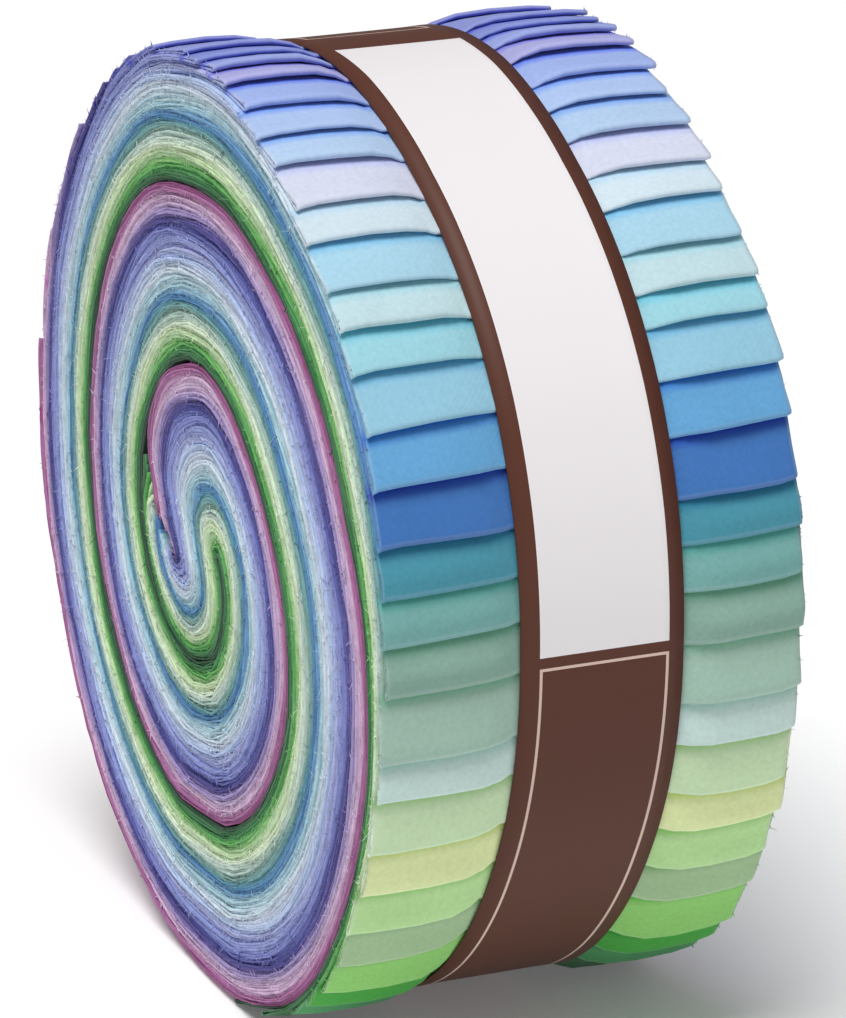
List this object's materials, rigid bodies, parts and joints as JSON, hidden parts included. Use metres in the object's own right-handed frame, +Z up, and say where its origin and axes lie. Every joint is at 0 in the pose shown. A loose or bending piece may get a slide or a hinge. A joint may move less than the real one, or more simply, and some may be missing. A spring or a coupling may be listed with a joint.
{
  "type": "fabric strip roll",
  "caption": "Folded cotton strips in a run of colours, wound together into a round spiral roll, their folded ends overlapping round the rim under a plain paper band.",
  "frame": {"origin": "on the surface it rests on, under the middle of its box, below the winding axis", "axes": "+X along the winding axis, away from the wound face that shows; +Z up; the strips' folds turn clockwise as seen from -X"},
  "size_m": [0.0645, 0.1423, 0.1418],
  "materials": {
    "cloth_01": "matt plain-weave cotton",
    "cloth_02": "matt plain-weave cotton",
    "cloth_03": "matt plain-weave cotton",
    "cloth_04": "matt plain-weave cotton",
    "cloth_05": "matt plain-weave cotton",
    "cloth_06": "matt plain-weave cotton",
    "cloth_07": "matt plain-weave cotton",
    "cloth_08": "matt plain-weave cotton",
    "cloth_09": "matt plain-weave cotton",
    "cloth_10": "matt plain-weave cotton",
    "cloth_11": "matt plain-weave cotton",
    "cloth_12": "matt plain-weave cotton",
    "cloth_13": "matt plain-weave cotton",
    "cloth_14": "matt plain-weave cotton",
    "cloth_15": "matt plain-weave cotton",
    "cloth_16": "matt plain-weave cotton",
    "cloth_17": "matt plain-weave cotton",
    "cloth_18": "matt plain-weave cotton",
    "cloth_19": "matt plain-weave cotton",
    "cloth_20": "matt plain-weave cotton",
    "cloth_21": "matt plain-weave cotton",
    "cloth_22": "matt plain-weave cotton",
    "cloth_23": "matt plain-weave cotton",
    "cloth_24": "matt plain-weave cotton",
    "cloth_25": "matt plain-weave cotton",
    "cloth_26": "matt plain-weave cotton",
    "cloth_27": "matt plain-weave cotton",
    "cloth_28": "matt plain-weave cotton",
    "cloth_29": "matt plain-weave cotton",
    "cloth_30": "matt plain-weave cotton",
    "cloth_31": "matt plain-weave cotton",
    "cloth_32": "matt plain-weave cotton",
    "cloth_33": "matt plain-weave cotton",
    "cloth_34": "matt plain-weave cotton",
    "cloth_35": "matt plain-weave cotton",
    "cloth_36": "matt plain-weave cotton",
    "cloth_37": "matt plain-weave cotton",
    "cloth_38": "matt plain-weave cotton",
    "cloth_39": "matt plain-weave cotton",
    "cloth_40": "matt plain-weave cotton",
    "cloth_41": "matt plain-weave cotton",
    "cloth_wound": "matt, cut and fraying edges",
    "band_paper": "smooth, slight sheen"
  },
  "bodies": {
    "root": {"wound_core": "cloth_wound", "strip_01": "cloth_01", "strip_02": "cloth_02", "strip_03": "cloth_03", "strip_04": "cloth_04", "strip_05": "cloth_05", "strip_06": "cloth_06", "strip_07": "cloth_07", "strip_08": "cloth_08", "strip_09": "cloth_09", "strip_10": "cloth_10", "strip_11": "cloth_11", "strip_12": "cloth_12", "strip_13": "cloth_13", "strip_14": "cloth_14", "strip_15": "cloth_15", "strip_16": "cloth_16", "strip_17": "cloth_17", "strip_18": "cloth_18", "strip_19": "cloth_19", "strip_20": "cloth_20", "strip_21": "cloth_21", "strip_22": "cloth_22", "strip_23": "cloth_23", "strip_24": "cloth_24", "strip_25": "cloth_25", "strip_26": "cloth_26", "strip_27": "cloth_27", "strip_28": "cloth_28", "strip_29": "cloth_29", "strip_30": "cloth_30", "strip_31": "cloth_31", "strip_32": "cloth_32", "strip_33": "cloth_33", "strip_34": "cloth_34", "strip_35": "cloth_35", "strip_36": "cloth_36", "strip_37": "cloth_37", "strip_38": "cloth_38", "strip_39": "cloth_39", "strip_40": "cloth_40", "strip_41": "cloth_41", "paper_band": "band_paper"}
  },
  "joints": []
}
